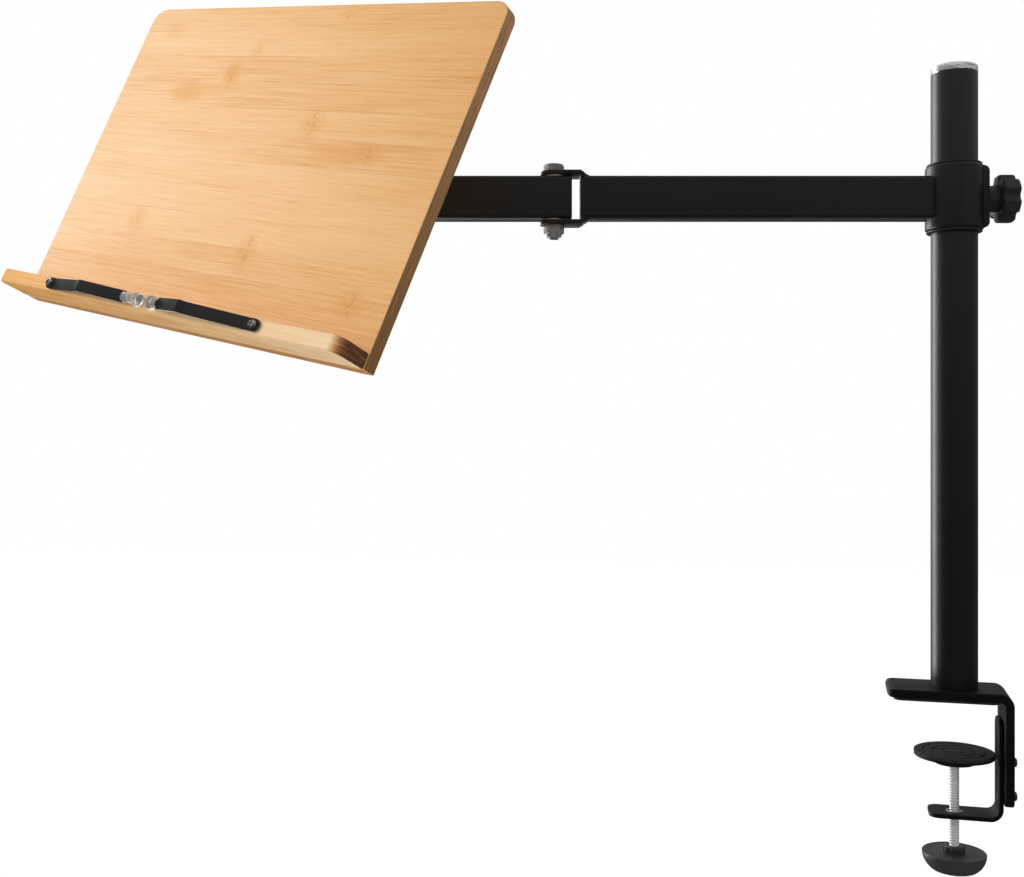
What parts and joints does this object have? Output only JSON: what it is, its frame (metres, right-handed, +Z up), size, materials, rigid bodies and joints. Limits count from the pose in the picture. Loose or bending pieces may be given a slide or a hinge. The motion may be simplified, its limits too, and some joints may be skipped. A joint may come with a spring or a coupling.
{
  "type": "cookbook stand",
  "caption": "Bamboo book board with a ledge and page clips on a folding black steel arm, whose collar slides and swings on a pole held by a desk clamp.",
  "frame": {"origin": "on the pole's axis, level with the desk top, where the clamp's liner rests", "axes": "+Z up along the pole, -X over the desk, +X to the clamp's leg, Y along the desk's edge"},
  "size_m": [0.6973, 0.3322, 0.6306],
  "materials": {
    "black_coat": "satin powder coat with a fine texture",
    "zinc_steel": "zinc-plated, slightly dull",
    "bright_cap": "polished",
    "rubber": "matt",
    "nylon": "natural",
    "black_plastic": "moulded, fine texture",
    "bamboo": "strips glued edge to edge, with dark knuckle marks, satin lacquer",
    "clear_plastic": "clear, slightly milky"
  },
  "bodies": {
    "clamp": {"clamp_plate": "black_coat", "desk_liner": "rubber", "lower_bracket": "black_coat", "bracket_screws": "black_coat", "jaw_bush": "zinc_steel", "pole_tube": "black_coat", "pole_cap": "bright_cap", "foot_plug": "zinc_steel", "foot_screw": "zinc_steel"},
    "clamp_pad": {"pad_face": "rubber", "pad_cup": "black_coat"},
    "clamp_spindle": {"clamp_screw": "zinc_steel", "clamp_knob": "black_plastic"},
    "sleeve": {"slide_sleeve": "black_plastic"},
    "rear_arm": {"pole_collar": "black_coat", "rear_arm": "black_coat", "rear_arm_plug": "black_plastic", "elbow_bolt": "zinc_steel", "elbow_nut": "zinc_steel"},
    "lock_tip": {"lock_tip": "nylon"},
    "lock_knob": {"lock_stud": "zinc_steel", "lock_knob": "black_plastic"},
    "front_arm": {"front_arm": "black_coat", "front_arm_plugs": "black_plastic", "elbow_bush": "nylon", "elbow_washers": "nylon", "head_bush": "nylon", "head_washers": "nylon"},
    "head": {"head_yoke": "black_coat", "head_bolt": "zinc_steel", "head_nut": "zinc_steel", "tilt_bolt": "zinc_steel", "tilt_nut": "zinc_steel"},
    "knuckle": {"tilt_knuckle": "black_coat", "tilt_washers": "nylon", "slip_ring": "nylon", "turn_screw": "zinc_steel"},
    "board": {"board_plate": "black_coat", "plate_screws": "zinc_steel", "board": "bamboo", "ledge": "bamboo", "ledge_screws": "zinc_steel", "clip_spacers": "zinc_steel", "clip_screws": "zinc_steel"},
    "left_clip": {"left_clip": "black_coat", "left_clip_tip": "clear_plastic"},
    "right_clip": {"right_clip": "black_coat", "right_clip_tip": "clear_plastic"}
  },
  "joints": [
    {"name": "collar_height", "type": "slide", "parent": "clamp", "child": "sleeve", "axis": [0, 0, 1], "range_m": [-0.31, 0.06]},
    {"name": "arm_swing", "type": "hinge", "parent": "sleeve", "child": "rear_arm", "pos_m": [0, 0, 0.356], "axis": [0, 0, 1], "continuous": true},
    {"name": "lock_travel", "type": "slide", "parent": "rear_arm", "child": "lock_tip", "axis": [0.9659, 0.2588, 0], "range_m": [0, 0.002]},
    {"name": "lock_turn", "type": "hinge", "parent": "lock_tip", "child": "lock_knob", "pos_m": [0, 0, 0.356], "axis": [0.9659, 0.2588, 0], "range_deg": [0, 721]},
    {"name": "elbow", "type": "hinge", "parent": "rear_arm", "child": "front_arm", "pos_m": [-0.27625, -0.07402, 0.356], "axis": [0, 0, 1], "range_deg": [-110, 80]},
    {"name": "head_swivel", "type": "hinge", "parent": "front_arm", "child": "head", "pos_m": [-0.43273, -0.11595, 0.356], "axis": [0, 0, -1], "range_deg": [-45, 120]},
    {"name": "board_tilt", "type": "hinge", "parent": "head", "child": "knuckle", "pos_m": [-0.44777, -0.16364, 0.356], "axis": [-0.9537, 0.3007, 0], "range_deg": [-35, 50]},
    {"name": "board_turn", "type": "hinge", "parent": "knuckle", "child": "board", "pos_m": [-0.44777, -0.16364, 0.356], "axis": [-0.2835, -0.899, 0.3338], "range_deg": [-78, 102]},
    {"name": "left_clip_swing", "type": "hinge", "parent": "board", "child": "left_clip", "pos_m": [-0.59252, -0.20923, 0.28974], "axis": [-0.2835, -0.899, 0.3338], "range_deg": [0, 100]},
    {"name": "right_clip_swing", "type": "hinge", "parent": "board", "child": "right_clip", "pos_m": [-0.40443, -0.28328, 0.25003], "axis": [0.2835, 0.899, -0.3338], "range_deg": [0, 100]},
    {"name": "clamp_travel", "type": "slide", "parent": "clamp", "child": "clamp_pad", "axis": [0, 0, 1], "range_m": [-0.033, 0.02]},
    {"name": "clamp_turn", "type": "hinge", "parent": "clamp_pad", "child": "clamp_spindle", "pos_m": [0, 0, -0.0804], "axis": [0, 0, 1], "range_deg": [-5941, 3601]}
  ],
  "couplings": [
    {"joint": "lock_turn", "follows": "lock_travel", "rad_per_m": 6283.2},
    {"joint": "clamp_turn", "follows": "clamp_travel", "rad_per_m": 3141.6}
  ]
}
